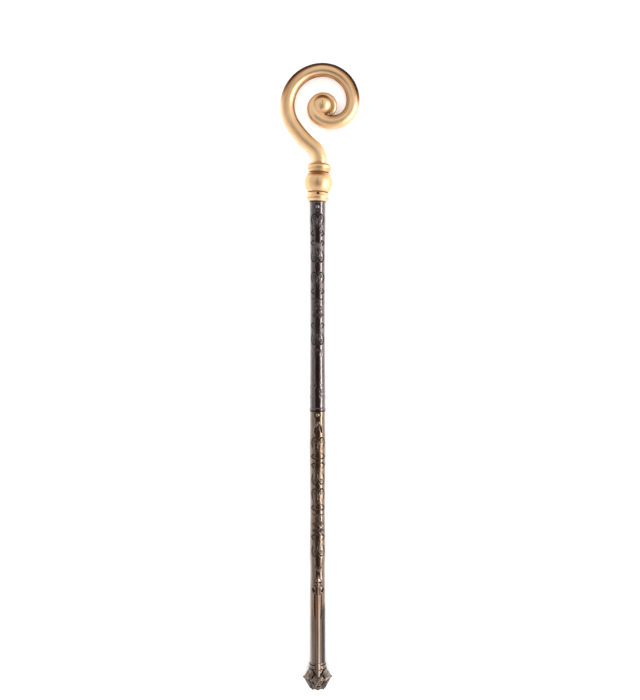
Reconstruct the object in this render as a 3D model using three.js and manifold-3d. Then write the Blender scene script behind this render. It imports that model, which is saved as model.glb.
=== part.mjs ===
// Bishop crosier, costume copy in moulded plastic, that comes apart into a head and two shaft lengths.
// Millimetres. The crosier lies on its back: +Y runs along the staff to the crook, +Z is up, away from the
// floor, and the crook's loop lies flat, parallel to the XY plane. The origin is the middle of its underside.
import * as THREE from 'three';
import { mergeVertices } from 'three/addons/utils/BufferGeometryUtils.js';
import Module from 'manifold-3d';

const wasm = await Module();
wasm.setup();

// Staff: heights are counted along the axis from the end of the foot.
const lowerLength = 750.5;
const upperLength = 566;
const shaftSides = 18;
const fitGap = 0.3;
const socketRadius = 17.5;
const spigotLength = 58;
const spigotEndGap = 4;

// Shaft outline: [distance below the top of the length, radius], from its top rim down.
const upperOutline = [[0, 21.3], [66, 21.1], [130, 19.9], [270, 19.5], [400, 19.7], [530, 20.7]];
const upperRim = { radius: 21.8, height: 9, slope: 3 };
const lowerOutline = [[0, 20.4], [40, 20.5], [110, 21.3], [250, 19.8], [380, 20.8], [432, 19.6], [480, 20.6]];
const lowerEndRadius = 20.9;
const outlineSteps = 8;

// Raised ornament on both shaft lengths, on the front and the back.
const reliefHeight = 1.5;
const cartoucheLength = 57;
const cartouchePlate = [[0, 3], [12.5, 0], [17.4, 5], [12.5, 12], [12.5, 22], [10, 27]];
const lobe = { halfWidth: 7.6, length: 27, offset: 8.6, start: -40, turn: 190, steps: 3, valley: 10 };
const lozenge = { halfWidth: 4.6, halfLength: 8, columnOffset: 6.4, rowPitch: 17, rows: 3 };
const upperCartouches = [[35.2, 1], [106.3, -1], [191.5, 1], [328.9, -1]];
const upperLozengesFrom = 267.6;
const lowerCartouches = [[70.7, 1], [139.8, -1], [209, 1], [333.2, -1]];
const lowerLozengesFrom = 282.9;
const arch = { below: 30, length: 27, halfWidth: 15, legWidth: 5, inside: 8 };
const archBend = { across: 6.7, below: 9.5 };

// Spear leaf, and the rib that runs down from it to the foot. Each of the leaf's stages starts where the one
// below it ends, and its pockets, [half apart, above the root], are sunk into it in pairs.
const lowerTurn = 4;
const rib = { halfWidth: 6.2, rise: 2.4, aboveBelt: 2.7, tipHalfWidth: 2.4 };
const leafRoot = 259.5;
const leafStage = { barb: 10, waist: 10, shoulder: 13, tip: 14.5 };
const leafHalfWidth = { tip: 0.8, shoulder: 9.4, waist: 6.8, barb: 15.5, midrib: 4.4 };
const flute = { across: 11.2, halfWidth: 2.7, length: 70, tip: 8, overlap: 2 };
const leafPockets = [
  { from: [5, 27.6], to: [5.2, 31.8], width: 4.2 },
  { from: [8, 19.2], to: [9, 22.8], width: 3.8 },
  { from: [9.6, 5.5], to: [13.6, 13], width: 4.4 },
];
const pocketDepth = 2.6;
const pocketSides = 6;
const pocketOverrun = 1;

// Foot: two end rings and a faceted bulb that carries the lattice.
// The belt is the bulb's widest level: what lies on the bulb is placed above or below it.
const footSides = 8;
const footRadius = 38;
const footBelt = 30.8;
const footShoulder = 21.7;
const footEndRadius = 21.8;
const footTopRadius = 25.2;
const footRing = { width: 8, radius: 26.2 };
const endRing = { width: 8, radius: 23.4 };
const ringGroove = { width: 3, radius: 21.6 };
const ringBevel = 2;
const bar = { halfWidth: 2.3, rise: 1.8, steps: 3 };
const upperBars = { spread: 20, overRing: 4.5 };
const lowerBars = { spread: 14, belowBelt: 6.8, low: 2.5 };
const footBead = { radius: 4.2, across: 27, aboveBelt: 8.7 };
const footStud = { radius: 2.6, proud: 1.3, count: 4 };
const beadSides = 8;
const footNotches = { count: 12, width: 5.5, depth: 2.4, inner: 15 };
const footPockets = [
  { from: [7, 12.2], to: [12.5, 19.7], width: 2.8 },
  { from: [17.5, 2.4], to: [12.4, 10.4], width: 2.8 },
  { from: [10.6, -14], to: [16, -6], width: 3.2 },
  { from: [17, -21.6], to: [17.6, -16.6], width: 5.2 },
];
const footEyelet = { from: [-3.4, -18.6], to: [3.4, -18.6], width: 2.6 };

// Head: heights are counted from the underside of the lower collar, along the head's own axis.
const headLean = 2.9;
const headSides = 20;
const knop = { centre: 52.3, radius: 37.4 };
const neckRadius = 26;
const lowerCollarRadius = 29.6;
const upperCollarRadius = 32.2;
const upperCollarLength = 30.5;
const collarLip = 1.5;
const collarSteps = 5;
const knopSteps = 8;
const ventHole = { height: 20.6, radius: 2.9, depth: 9, sides: 12 };

// Crook: the bends of its middle line from the stem on. Turns are in degrees, and left is positive.
// The tube's radii are those at the stem and at the end of each bend.
const crookRadii = [48.4, 230, 97, 82.6, 57.6, 29.7, 25.7];
const crookTurns = [55.1, -20.2, -114.1, -103, -132, -148.5, -124];
const tubeRadii = [20.1, 20.1, 20.1, 18.9, 18.4, 18.6, 12.8, 4.5];
const crookSides = 14;
const crookStepAngle = 13;
const eyeSides = 16;
const eyeRadius = 28;
const eyeAboveKnop = 211;
const eyeWeb = { below: 6, radius: 28, halfThickness: 6 };

// Locking studs.
const studRadius = 7;
const studDomeRise = 3.2;
const studPocketDepth = 7;
const studSides = 12;
const studSteps = 4;
const upperStudBelowRim = 15;
const lowerStudBelowRim = 10;

// Small flats that the loose crosier rests on.
const restFlatDepth = 0.9;

const jointHeight = lowerLength;
const seatHeight = lowerLength + upperLength;
const axisToFloor = Math.min(knop.radius, footRadius) - restFlatDepth;
const knopReach = Math.sqrt(knop.radius ** 2 - neckRadius ** 2);
const stemHeight = knop.centre + knopReach + upperCollarLength;
const footRingLow = footBelt + footShoulder;
const footRingHigh = footRingLow + footRing.width;
const endRingLow = footRingHigh + ringGroove.width;
const endRingHigh = endRingLow + endRing.width;
const leafBarb = leafRoot + leafStage.barb;
const leafWaist = leafBarb + leafStage.waist;
const leafShoulder = leafWaist + leafStage.shoulder;
const leafTip = leafShoulder + leafStage.tip;
const fluteLow = leafRoot - flute.length;
const ribTip = footBelt + rib.aboveBelt;
const beyond = 4 * axisToFloor;
const meshTolerance = 0.02;
const degrees = THREE.MathUtils.degToRad;

const gold = new THREE.MeshStandardMaterial({ color: 0xd9b480, roughness: 0.36, metalness: 0.85 });
const bronze = new THREE.MeshStandardMaterial({ color: 0x5d4c45, roughness: 0.38, metalness: 0.8 });
const copperBronze = new THREE.MeshStandardMaterial({ color: 0x7a604c, roughness: 0.4, metalness: 0.8 });
const steel = new THREE.MeshStandardMaterial({ color: 0x8f8c8a, roughness: 0.2, metalness: 1 });

function toSolid(geometry) {
  const bare = geometry.clone();
  bare.deleteAttribute('normal');
  bare.deleteAttribute('uv');
  const merged = mergeVertices(bare, 1e-3);
  const triangles = [];
  for (let i = 0; i < merged.index.count; i += 3) {
    const [a, b, c] = [merged.index.getX(i), merged.index.getX(i + 1), merged.index.getX(i + 2)];
    if (a !== b && b !== c && c !== a) triangles.push(a, b, c);
  }
  const vertProperties = new Float32Array(merged.attributes.position.array);
  const triVerts = new Uint32Array(triangles);
  return new wasm.Manifold(new wasm.Mesh({ numProp: 3, vertProperties, triVerts }));
}

function toMesh(name, solid, material) {
  const { vertProperties, triVerts } = solid.asOriginal().simplify(meshTolerance).getMesh();
  const geometry = new THREE.BufferGeometry();
  geometry.setAttribute('position', new THREE.Float32BufferAttribute(vertProperties, 3));
  geometry.setIndex(Array.from(triVerts));
  geometry.computeVertexNormals();
  const mesh = new THREE.Mesh(geometry, material);
  mesh.name = name;
  return mesh;
}

function join(solids) {
  return solids.reduce((whole, solid) => whole.add(solid));
}

// A solid turned about the Y axis: its profile, [radius, height], runs upward from the axis and back to it.
function turned(profile, sides) {
  const points = profile.map(([radius, height]) => new THREE.Vector2(radius, height));
  return toSolid(new THREE.LatheGeometry(points, sides));
}

function rod(radius, low, high, sides) {
  return turned([[0, low], [radius, low], [radius, high], [0, high]], sides);
}

// A bar that follows stations {at, across, out}: its section is an ellipse with those two half axes.
function swept(stations, sides) {
  const geometry = new THREE.CylinderGeometry(1, 1, stations.length - 1, sides, stations.length - 1);
  const position = geometry.attributes.position;
  const point = new THREE.Vector3();
  for (let i = 0; i < position.count; i += 1) {
    const station = stations[Math.round(position.getY(i) + (stations.length - 1) / 2)];
    point.copy(station.at);
    point.addScaledVector(station.across, position.getX(i));
    point.addScaledVector(station.out, position.getZ(i));
    position.setXYZ(i, point.x, point.y, point.z);
  }
  return toSolid(geometry);
}

// A flat outline in XY, drawn out through the whole staff along Z.
function prism(points) {
  const shape = new THREE.Shape(points.map(([x, y]) => new THREE.Vector2(x, y)));
  const geometry = new THREE.ExtrudeGeometry(shape, { depth: 2 * beyond, bevelEnabled: false });
  geometry.translate(0, 0, -beyond);
  return toSolid(geometry);
}

function mirrored(half) {
  const other = half.filter(([x]) => x > 0).map(([x, y]) => [-x, y]).reverse();
  return half.concat(other);
}

// The half space that the floor takes away, with the crosier's axis at z = 0.
function belowFloor() {
  const block = new THREE.BoxGeometry(4 * beyond, 4 * seatHeight, beyond);
  block.translate(0, 0, -axisToFloor - beyond / 2);
  return toSolid(block);
}

// Shaft lengths
function outlineOf(outline, top) {
  const points = outline.map(([below, radius]) => new THREE.Vector2(radius, top - below)).reverse();
  return new THREE.SplineCurve(points).getPoints(outlineSteps).map((point) => [point.x, point.y]);
}

function shaftBody(profile, grow) {
  const wide = profile.map(([radius, height]) => [radius + grow, height]);
  const [first, last] = [wide[0], wide[wide.length - 1]];
  return turned([[0, first[1]], ...wide, [0, last[1]]], shaftSides);
}

function lobeOutline() {
  const points = [];
  for (let i = 0; i <= lobe.steps; i += 1) {
    const angle = degrees(lobe.start + (lobe.turn * i) / lobe.steps);
    const along = cartoucheLength - (lobe.length / 2) * (1 - Math.sin(angle));
    points.push([lobe.offset + lobe.halfWidth * Math.cos(angle), along]);
  }
  return points;
}

// A strapwork cartouche: a hooked plate at y = 0 and two lobes at the far end. Turned by direction -1.
function cartouchePrism(top, direction) {
  const half = [...cartouchePlate, ...lobeOutline(), [0, cartoucheLength - lobe.valley]];
  const start = direction > 0 ? top - cartoucheLength : top;
  const placed = mirrored(half).map(([x, y]) => [x * direction, start + y * direction]);
  return prism(placed);
}

function lozengePrisms(top) {
  const prisms = [];
  const { halfWidth, halfLength, columnOffset, rowPitch, rows } = lozenge;
  for (let row = 0; row < rows; row += 1) {
    for (const side of [-1, 1]) {
      const [x, y] = [side * columnOffset, top - halfLength - row * rowPitch];
      prisms.push(prism([[x - halfWidth, y], [x, y - halfLength], [x + halfWidth, y], [x, y + halfLength]]));
    }
  }
  return prisms;
}

function archPrism(top) {
  const apex = top - arch.below;
  return prism(mirrored([
    [0, apex - arch.inside], [arch.halfWidth - arch.legWidth, apex - arch.length],
    [arch.halfWidth, apex - arch.length], [archBend.across, apex - archBend.below], [0, apex],
  ]));
}

function leafPrism() {
  return prism(mirrored([
    [0, leafRoot], [rib.halfWidth, leafRoot], [leafHalfWidth.barb, leafBarb],
    [leafHalfWidth.waist, leafWaist], [leafHalfWidth.shoulder, leafShoulder], [0, leafTip],
  ]));
}

// Two low flutes that run down beside the rib from the leaf.
function flutePrisms() {
  return [-1, 1].map((side) => {
    const [inner, outer] = [side * (flute.across - flute.halfWidth), side * (flute.across + flute.halfWidth)];
    const high = leafRoot + flute.overlap;
    const points = [[inner, high], [inner, fluteLow + flute.tip], [side * flute.across, fluteLow]];
    points.push([outer, fluteLow + flute.tip], [outer, high]);
    return prism(side > 0 ? points : points.reverse());
  });
}

function cartouches(list, top) {
  return list.map(([below, direction]) => cartouchePrism(top - below, direction));
}

function embossed(profile, prisms) {
  return shaftBody(profile, 0).add(shaftBody(profile, reliefHeight).intersect(join(prisms)));
}

function socketAt(top) {
  return rod(socketRadius, top - spigotLength - spigotEndGap, top + beyond, shaftSides);
}

function spigotAt(shoulder, overlap) {
  return rod(socketRadius - fitGap, shoulder - spigotLength, shoulder + overlap, shaftSides);
}

// The hole that a locking stud passes through, with its pocket in the spigot.
function studHole(height) {
  const hole = rod(studRadius + fitGap, socketRadius - studPocketDepth, beyond, shaftSides);
  return hole.rotate([90, 0, 0]).translate([0, height, 0]);
}

// An oval pocket, as deep as pocketDepth, sunk square into a side. Its ends are counted from a base height.
function pocketCut({ from, to, width }, side, base, radiusAt) {
  const [x, height] = [(from[0] + to[0]) / 2, base + (from[1] + to[1]) / 2];
  const radius = radiusAt(x, height);
  const turn = Math.asin(x / radius);
  const [run, climb] = [(to[0] - from[0]) / Math.cos(turn), to[1] - from[1]];
  const hole = new THREE.CylinderGeometry(1, 1, radius, pocketSides);
  hole.rotateX(Math.PI / 2);
  hole.scale(width / 2, Math.hypot(run, climb) / 2 + pocketOverrun, 1);
  hole.translate(0, 0, 1.5 * radius - pocketDepth);
  hole.rotateZ(-side * Math.atan2(run, climb));
  hole.rotateY(side * turn);
  hole.translate(0, height, 0);
  return toSolid(hole);
}

// The same pockets on both sides of the front and, turned by half a turn, on the back.
function pocketCuts(pockets, base, radiusAt) {
  const cuts = pockets.flatMap((pocket) => [1, -1].map((side) => pocketCut(pocket, side, base, radiusAt)));
  const front = join(cuts);
  return front.add(front.rotate([0, 180, 0]));
}

const upperStudHeight = seatHeight - upperStudBelowRim;
const lowerStudHeight = jointHeight - lowerStudBelowRim;

function upperShaft() {
  const rimTop = jointHeight + fitGap + upperRim.height;
  const outline = outlineOf(upperOutline, seatHeight).filter(([, height]) => height > rimTop);
  const rim = [[upperRim.radius, jointHeight + fitGap], [upperRim.radius, rimTop - upperRim.slope]];
  const profile = [...rim, ...outline];
  const lozenges = lozengePrisms(seatHeight - upperLozengesFrom);
  const prisms = [...cartouches(upperCartouches, seatHeight), ...lozenges];
  return embossed(profile, prisms)
    .subtract(socketAt(seatHeight))
    .add(spigotAt(jointHeight, 2 * fitGap))
    .subtract(studHole(upperStudHeight))
    .subtract(studHole(lowerStudHeight));
}

// Foot
function footBody() {
  return turned([
    [0, 0], [footEndRadius, 0], [footRadius, footBelt], [footTopRadius, footRingLow], [0, footRingLow],
  ], footSides);
}

function footRings() {
  return turned([
    [0, footRingLow - ringBevel], [footTopRadius, footRingLow - ringBevel],
    [footRing.radius, (footRingLow + footRingHigh) / 2], [ringGroove.radius, footRingHigh],
    [ringGroove.radius, endRingLow], [endRing.radius, endRingLow + ringBevel],
    [endRing.radius, endRingHigh - ringBevel], [lowerEndRadius, endRingHigh], [0, endRingHigh],
  ], shaftSides);
}

// A point on the bulb's front, which has an edge at x = 0 and slopes away to both sides of it.
function onFootFront(x, height) {
  const above = height - footBelt;
  const share = Math.min(1, above > 0 ? above / footShoulder : -above / footBelt);
  const corner = THREE.MathUtils.lerp(footRadius, above > 0 ? footTopRadius : footEndRadius, share);
  const turn = (2 * Math.PI) / footSides;
  const reach = corner * Math.sin(turn);
  const beside = Math.min(Math.abs(x), reach);
  const past = Math.abs(x) - beside;
  return new THREE.Vector3(x, height, corner - beside * Math.tan(turn / 2) - past * Math.tan(1.5 * turn));
}

function footRadiusAt(x, height) {
  const point = onFootFront(x, height);
  return Math.hypot(point.x, point.z);
}

// A roofed bar that runs straight, as seen from the front, from one [x, height] to another.
function footBar([fromX, fromHeight], [toX, toHeight]) {
  const across = new THREE.Vector3(toHeight - fromHeight, fromX - toX, 0).setLength(bar.halfWidth);
  const out = new THREE.Vector3(0, 0, bar.rise);
  const stations = [];
  for (let i = 0; i <= bar.steps; i += 1) {
    const share = i / bar.steps;
    const [x, height] = [fromX + share * (toX - fromX), fromHeight + share * (toHeight - fromHeight)];
    stations.push({ at: onFootFront(x, height), across, out });
  }
  return swept(stations, 4);
}

function ball(centre, radius, sides) {
  const geometry = new THREE.SphereGeometry(radius, sides, sides / 2);
  geometry.rotateX(Math.PI / 2);
  geometry.translate(centre.x, centre.y, centre.z);
  return toSolid(geometry);
}

// The bars and beads on the front of the bulb; a copy turned by half a turn makes its back.
function frontLattice() {
  const parts = [];
  for (const side of [-1, 1]) {
    parts.push(footBar([side * upperBars.spread, footRingLow + upperBars.overRing], [0, ribTip]));
    parts.push(footBar([0, footBelt - lowerBars.belowBelt], [side * lowerBars.spread, lowerBars.low]));
    const beadCentre = onFootFront(side * footBead.across, footBelt + footBead.aboveBelt);
    parts.push(ball(beadCentre, footBead.radius, beadSides));
  }
  return join(parts);
}

function footStuds() {
  const studs = [];
  for (let i = 0; i < footStud.count; i += 1) {
    const angle = (i * 2 * Math.PI) / footStud.count;
    const reach = footRadius + footStud.proud - footStud.radius;
    const centre = new THREE.Vector3(reach * Math.sin(angle), footBelt, reach * Math.cos(angle));
    studs.push(ball(centre, footStud.radius, beadSides));
  }
  return studs;
}

function footNotchCuts() {
  const cuts = [];
  for (let i = 0; i < footNotches.count; i += 1) {
    const block = new THREE.BoxGeometry(footNotches.width, 2 * footNotches.depth, footRadius);
    block.translate(0, 0, footNotches.inner + footRadius / 2);
    block.rotateY(((i + 0.5) * 2 * Math.PI) / footNotches.count);
    cuts.push(toSolid(block));
  }
  return cuts;
}

// The roofed rib of one side: from the leaf's tip down its middle, over the rings and on to the bulb.
function ribBar(side) {
  const surface = [
    [ribTip, onFootFront(0, ribTip).z, rib.tipHalfWidth], [footRingLow, footRing.radius, rib.halfWidth],
    [endRingHigh, endRing.radius, rib.halfWidth], [fluteLow, lowerEndRadius, rib.halfWidth],
    [leafBarb, lowerEndRadius, leafHalfWidth.midrib], [leafWaist, lowerEndRadius, leafHalfWidth.midrib],
    [leafShoulder, lowerEndRadius, leafHalfWidth.shoulder], [leafTip, lowerEndRadius, leafHalfWidth.tip],
  ];
  const stations = surface.map(([height, radius, halfWidth]) => {
    const edge = Math.sqrt(radius ** 2 - halfWidth ** 2);
    return {
      at: new THREE.Vector3(0, height, side * edge),
      across: new THREE.Vector3(side * halfWidth, 0, 0),
      out: new THREE.Vector3(0, 0, side * (radius + rib.rise - edge)),
    };
  });
  return swept(stations, 4);
}

function lowerShaft() {
  const end = [lowerEndRadius, endRingHigh - ringBevel];
  const outline = [end, ...outlineOf(lowerOutline, jointHeight)];
  const prisms = [
    ...cartouches(lowerCartouches, jointHeight), ...lozengePrisms(jointHeight - lowerLozengesFrom),
    archPrism(jointHeight), leafPrism(), ...flutePrisms(),
  ];
  const front = frontLattice();
  const back = front.rotate([0, 180, 0]);
  const foot = join([footBody(), footRings(), front, back, ...footStuds(), ribBar(1), ribBar(-1)]);
  return embossed(outline, prisms)
    .add(foot)
    .subtract(pocketCuts(leafPockets, leafRoot, () => lowerEndRadius))
    .subtract(pocketCuts([...footPockets, footEyelet], footBelt, footRadiusAt))
    .subtract(join(footNotchCuts()))
    .rotate([0, lowerTurn, 0])
    .subtract(socketAt(jointHeight))
    .subtract(studHole(lowerStudHeight))
    .subtract(belowFloor());
}

// Head
function collarProfile(low, high, rimRadius) {
  const points = [];
  for (let i = 0; i <= collarSteps; i += 1) {
    const share = i / collarSteps;
    const base = THREE.MathUtils.lerp(low[0], high[0], share);
    const swell = Math.sin(Math.acos(1 - 2 * share));
    points.push([base + (rimRadius - base) * swell, THREE.MathUtils.lerp(low[1], high[1], share)]);
  }
  return points;
}

function knopProfile() {
  const points = [];
  const start = Math.atan2(knopReach, neckRadius);
  for (let i = 1; i < knopSteps; i += 1) {
    const angle = THREE.MathUtils.lerp(-start, start, i / knopSteps);
    points.push([knop.radius * Math.cos(angle), knop.centre + knop.radius * Math.sin(angle)]);
  }
  return points;
}

function knopAndCollars() {
  const seatRadius = upperOutline[0][1] + collarLip;
  const lowNeck = [neckRadius, knop.centre - knopReach];
  const highNeck = [neckRadius, knop.centre + knopReach];
  return turned([
    [0, -knopReach], [seatRadius, -knopReach],
    ...collarProfile([seatRadius, 0], lowNeck, lowerCollarRadius), ...knopProfile(),
    ...collarProfile(highNeck, [tubeRadii[0], stemHeight], upperCollarRadius), [0, stemHeight],
  ], headSides);
}

// The tube of the crook, which tapers evenly along each bend.
function crookStations() {
  const stations = [];
  const at = new THREE.Vector3(0, stemHeight, 0);
  let heading = Math.PI / 2;
  const put = (bend, share) => {
    const radius = THREE.MathUtils.lerp(tubeRadii[bend], tubeRadii[bend + 1], share);
    const across = new THREE.Vector3(Math.sin(heading), -Math.cos(heading), 0).multiplyScalar(radius);
    stations.push({ at: at.clone(), across, out: new THREE.Vector3(0, 0, radius), bend });
  };
  put(0, 0);
  crookRadii.forEach((radius, bend) => {
    const steps = Math.ceil(Math.abs(crookTurns[bend]) / crookStepAngle);
    const step = degrees(crookTurns[bend] / steps);
    for (let i = 0; i < steps; i += 1) {
      const chord = 2 * radius * Math.sin(Math.abs(step) / 2);
      at.x += chord * Math.cos(heading + step / 2);
      at.y += chord * Math.sin(heading + step / 2);
      heading += step;
      put(bend, (i + 1) / steps);
    }
  });
  return stations;
}

function crook() {
  const stations = crookStations();
  const lastBend = crookRadii.length - 1;
  const start = { ...stations[0], at: stations[0].at.clone().setY(stemHeight - upperCollarLength / 3) };
  const outer = [start, ...stations.filter(({ bend }) => bend < lastBend)];
  const coil = [outer[outer.length - 1], ...stations.filter(({ bend }) => bend === lastBend)];
  const eye = new THREE.Vector3(0, knop.centre + eyeAboveKnop, 0);
  const web = new THREE.CylinderGeometry(eyeWeb.radius, eyeWeb.radius, 2 * eyeWeb.halfThickness, headSides);
  web.rotateX(Math.PI / 2).translate(eye.x, eye.y - eyeWeb.below, eye.z);
  const tubes = [swept(outer, crookSides), swept(coil, crookSides)];
  return join([...tubes, toSolid(web), ball(eye, eyeRadius, eyeSides)]);
}

function crookHead() {
  const seat = new THREE.BoxGeometry(beyond, beyond, beyond).translate(0, fitGap - beyond / 2, 0);
  const vent = rod(ventHole.radius, neckRadius - ventHole.depth, beyond, ventHole.sides)
    .rotate([90, 0, 0])
    .translate([0, ventHole.height, 0]);
  return join([knopAndCollars(), crook()])
    .subtract(vent)
    .rotate([0, 0, -headLean])
    .subtract(toSolid(seat))
    .add(spigotAt(0, 2 * fitGap))
    .translate([0, seatHeight, 0])
    .subtract(studHole(upperStudHeight))
    .subtract(belowFloor());
}

// A locking stud: a round shank in its pocket, with a dome that stands proud of the shaft.
function stud(height, shaftRadius) {
  const domeFoot = Math.sqrt(shaftRadius ** 2 - studRadius ** 2);
  const domeTop = shaftRadius + studDomeRise;
  const domeHeight = domeTop - domeFoot;
  const domeRadius = (studRadius ** 2 + domeHeight ** 2) / (2 * domeHeight);
  const root = socketRadius - studPocketDepth + fitGap;
  const profile = [[0, root], [studRadius, root]];
  const half = Math.asin(Math.min(1, studRadius / domeRadius));
  for (let i = 0; i < studSteps; i += 1) {
    const angle = half * (1 - i / studSteps);
    profile.push([domeRadius * Math.sin(angle), domeTop - domeRadius + domeRadius * Math.cos(angle)]);
  }
  profile.push([0, domeTop]);
  return turned(profile, studSides).rotate([90, 0, 0]).translate([0, height, 0]);
}

const crosier = new THREE.Group();
crosier.name = 'bishop_crosier';
crosier.add(
  toMesh('crook_head', crookHead(), gold),
  toMesh('upper_shaft', upperShaft(), bronze),
  toMesh('lower_shaft', lowerShaft(), copperBronze),
  toMesh('button_upper', stud(upperStudHeight, upperOutline[0][1]), steel),
  toMesh('button_lower', stud(lowerStudHeight, lowerOutline[0][1]), steel),
);

const bounds = new THREE.Box3().setFromObject(crosier);
const middle = bounds.getCenter(new THREE.Vector3());
crosier.position.set(-middle.x, -middle.y, -bounds.min.z);

export default crosier;
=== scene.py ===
"""Bishop crosier: the dressed model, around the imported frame. Metres; it lies on its back on the floor."""
import math

import bpy
import numpy as np
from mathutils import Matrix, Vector


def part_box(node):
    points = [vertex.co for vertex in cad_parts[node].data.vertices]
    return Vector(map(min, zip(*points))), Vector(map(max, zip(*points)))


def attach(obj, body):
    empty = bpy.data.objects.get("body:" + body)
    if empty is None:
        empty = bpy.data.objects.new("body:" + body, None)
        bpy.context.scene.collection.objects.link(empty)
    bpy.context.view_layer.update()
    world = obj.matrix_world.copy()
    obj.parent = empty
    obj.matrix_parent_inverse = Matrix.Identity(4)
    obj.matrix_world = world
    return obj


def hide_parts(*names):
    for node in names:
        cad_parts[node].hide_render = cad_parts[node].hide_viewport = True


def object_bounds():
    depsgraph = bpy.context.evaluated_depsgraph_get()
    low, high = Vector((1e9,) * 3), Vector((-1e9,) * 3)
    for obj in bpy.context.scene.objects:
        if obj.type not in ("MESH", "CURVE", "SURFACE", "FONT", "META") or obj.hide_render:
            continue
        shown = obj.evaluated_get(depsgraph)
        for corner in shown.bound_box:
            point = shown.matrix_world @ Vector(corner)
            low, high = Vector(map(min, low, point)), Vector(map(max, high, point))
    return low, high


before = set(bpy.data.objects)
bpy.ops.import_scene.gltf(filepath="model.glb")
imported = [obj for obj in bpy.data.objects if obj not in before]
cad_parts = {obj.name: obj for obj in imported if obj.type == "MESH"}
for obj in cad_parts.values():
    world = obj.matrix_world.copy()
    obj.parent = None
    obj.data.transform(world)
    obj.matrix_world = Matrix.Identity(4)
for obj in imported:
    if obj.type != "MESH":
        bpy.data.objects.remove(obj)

cad_low, cad_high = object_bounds()

# Sizes are in millimetres in the staff's own frame: its axis is X = 0 and Z = 0, heights run along +Y from
# the end of the foot, and the front faces +Z. place() turns them into the frame of the CAD.
MM = 0.001
shaft_low, shaft_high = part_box("upper_shaft")
foot_low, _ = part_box("lower_shaft")
AXIS_X = (shaft_low.x + shaft_high.x) / 2
AXIS_Z = (shaft_low.z + shaft_high.z) / 2
FOOT_END = foot_low.y

# Where the lengths meet, and where the head sits on them
JOINT = 750.5
UPPER_LENGTH = 566.0
SEAT = JOINT + UPPER_LENGTH
FIT_GAP = 0.3
SOCKET_RADIUS = 17.5
SOCKET_DEPTH = 62.0
SPIGOT_RADIUS = SOCKET_RADIUS - FIT_GAP
SPIGOT_LENGTH = 58.0
SPIGOT_BEVEL = 1.5
UPPER_RIM_LOW = JOINT + FIT_GAP
UPPER_RIM_RADIUS = 21.8
UPPER_RIM_HEIGHT = 9.0
UPPER_RIM_SLOPE = 3.0

# Tubes: each point of an outline is a distance below the length's top, and a radius
UPPER_OUTLINE = [(0, 21.3), (66, 21.1), (130, 19.9), (270, 19.5), (400, 19.7), (530, 20.7)]
LOWER_OUTLINE = [(0, 20.4), (40, 20.5), (110, 21.3), (250, 19.8), (380, 20.8), (432, 19.6), (480, 20.6)]
LOWER_END_RADIUS = 20.9
LOWER_TURN = math.radians(4)
ORNAMENT_TURN = math.radians(2)
SHAFT_COLUMNS = 160
FINE_ROW = 1.0
PLAIN_ROW = 2.2
ZONE_MARGIN = 2
OFF_SKIN = 99

# Ornament: points are given for the right half, across and along, and mirrored
RELIEF = 1.1
CORNER_CUT = 0.22
CARTOUCHE_LENGTH = 57.0
CARTOUCHE_PLATE = [(0, 3), (11.5, 0), (17.4, 5), (12.5, 12), (12.5, 22), (10, 27)]
CARTOUCHE_HOOK = (10.5, -0.5)
CARTOUCHE_TAIL = [(6.1, 38), (8.4, 33), (6.4, 26), (8.6, 18), (7.4, 13)]
CARTOUCHE_VINE = [(3.4, 42), (2.6, 36), (3.4, 29), (1.6, 21), (0.6, 15)]
PLATE_MARGIN = 2
PLATE_FADE = 24
LOBE_HALF_WIDTH = 7.6
LOBE_LENGTH = 27.0
LOBE_OFFSET = 8.6
LOBE_START = -40
LOBE_TURN = 190
LOBE_STEPS = 10
LOBE_VALLEY = 10.0
UPPER_CARTOUCHES = [(35.2, 1), (106.3, -1), (191.5, 1), (328.9, -1)]
LOWER_CARTOUCHES = [(70.7, 1), (139.8, -1), (209, 1), (333.2, -1)]
UPPER_BAND = 261.6
LOWER_BAND = 276.9
BAND_WAVE = [(15.8, 1.2), (12.4, -2.8), (8, -2.2), (4, -1.4), (0, -4)]
BAND_STEM = [(5.6, -16), (0.6, -21.5), (-3, -24.5)]
FORMS_BELOW_BAND = 27
FORM_PITCH = 18.4
FORM_ACROSS = 7.2
DIAMOND_WIDTH = 0.92
DIAMOND_HEIGHT = 1.12
DIAMOND_TICK = [(13.2, 1.2), (15.6, -0.6)]
CHEVRON = [(13.5, JOINT - 318), (4, JOINT - 322.5), (0, JOINT - 323.5)]
LOWER_CHEVRON = [(11, 332.5), (4, 325.5), (0, 320.5)]
ARCH_APEX = JOINT - 30
ARCH_LEG = [(0.8, -1), (4.4, -5), (9.6, -14), (11.8, -27)]
ARCH_INSIDE = [(0, -6), (3.2, -11), (6.2, -20), (7.4, -27)]

# Leaf, flutes and rib
LEAF_ROOT = 259.5
LEAF_BARB = LEAF_ROOT + 10
LEAF_WAIST = LEAF_BARB + 10
LEAF_SHOULDER = LEAF_WAIST + 13
LEAF_TIP = LEAF_SHOULDER + 14.5
LEAF_OUTLINE = [
    (0, LEAF_TIP), (9.4, LEAF_SHOULDER), (9.0, LEAF_SHOULDER - 3.4), (6.8, LEAF_WAIST),
    (11, LEAF_WAIST - 1.5), (15.5, LEAF_BARB), (14.2, LEAF_BARB - 5), (10.5, LEAF_ROOT - 1),
    (6.2, LEAF_ROOT - 3),
]
LEAF_HOLES = [((4.9, LEAF_ROOT + 29.7), 2.2, 2.2, 2.8), ((7.6, LEAF_ROOT + 21), 2.0, 2.3, 2.4)]
LEAF_SLIT = [(13.4, LEAF_ROOT + 12.4), (10.2, LEAF_ROOT + 6)]
LEAF_VEINS = [
    ([(3.4, LEAF_SHOULDER - 5), (8.6, LEAF_SHOULDER - 7.5)], 2.4),
    ([(5, LEAF_WAIST + 3), (12.6, LEAF_BARB + 7.4)], 2.6),
]
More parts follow.
